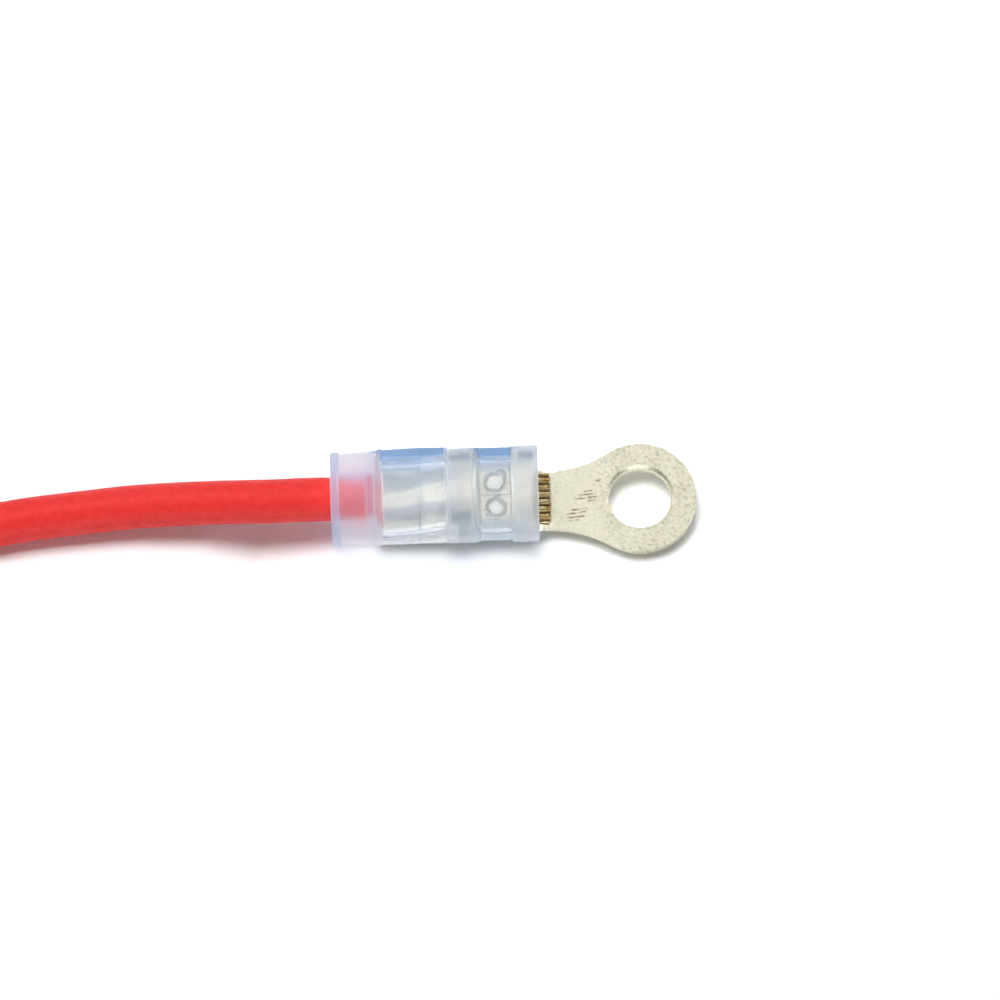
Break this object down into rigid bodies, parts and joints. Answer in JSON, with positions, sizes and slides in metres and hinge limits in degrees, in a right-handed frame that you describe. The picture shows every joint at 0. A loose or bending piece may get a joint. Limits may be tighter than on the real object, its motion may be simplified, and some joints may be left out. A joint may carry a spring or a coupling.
{
  "type": "ring terminal",
  "caption": "Nylon-insulated ring terminal, crimped on the strands and the jacket of a red wire lead, with the spare lead folded into a tied hank.",
  "frame": {"origin": "centre of the stud hole, on the tongue's underside", "axes": "+Z out of the tongue's top along the stud hole, +X from the barrel towards the ring"},
  "size_m": [0.1078, 0.0218, 0.0068],
  "materials": {
    "tinned_copper": "tin plate, pale and slightly mottled, satin",
    "tinned_grip": "tin plate, bright satin",
    "clear_nylon": "translucent pale blue nylon, glossy where the dies pressed it",
    "red_jacket": "smooth extruded PVC",
    "bare_strands": "fine drawn strands, tinned, copper at the cut ends",
    "tie_paper": "white paper-covered tie"
  },
  "bodies": {
    "root": {"terminal": "tinned_copper", "grip_sleeve": "tinned_grip", "insulator": "clear_nylon", "wire": "red_jacket", "wire_hank": "red_jacket", "bare_end": "bare_strands", "hank_tie": "tie_paper", "strand_01": "bare_strands", "strand_02": "bare_strands", "strand_03": "bare_strands", "strand_04": "bare_strands", "strand_05": "bare_strands", "strand_06": "bare_strands", "strand_07": "bare_strands", "strand_08": "bare_strands", "strand_09": "bare_strands", "strand_10": "bare_strands", "strand_11": "bare_strands", "strand_12": "bare_strands", "strand_13": "bare_strands", "strand_14": "bare_strands", "strand_15": "bare_strands", "strand_16": "bare_strands", "strand_17": "bare_strands", "strand_18": "bare_strands", "strand_19": "bare_strands", "strand_20": "bare_strands", "strand_21": "bare_strands", "strand_22": "bare_strands", "strand_23": "bare_strands", "strand_24": "bare_strands", "strand_25": "bare_strands", "strand_26": "bare_strands"}
  },
  "joints": []
}
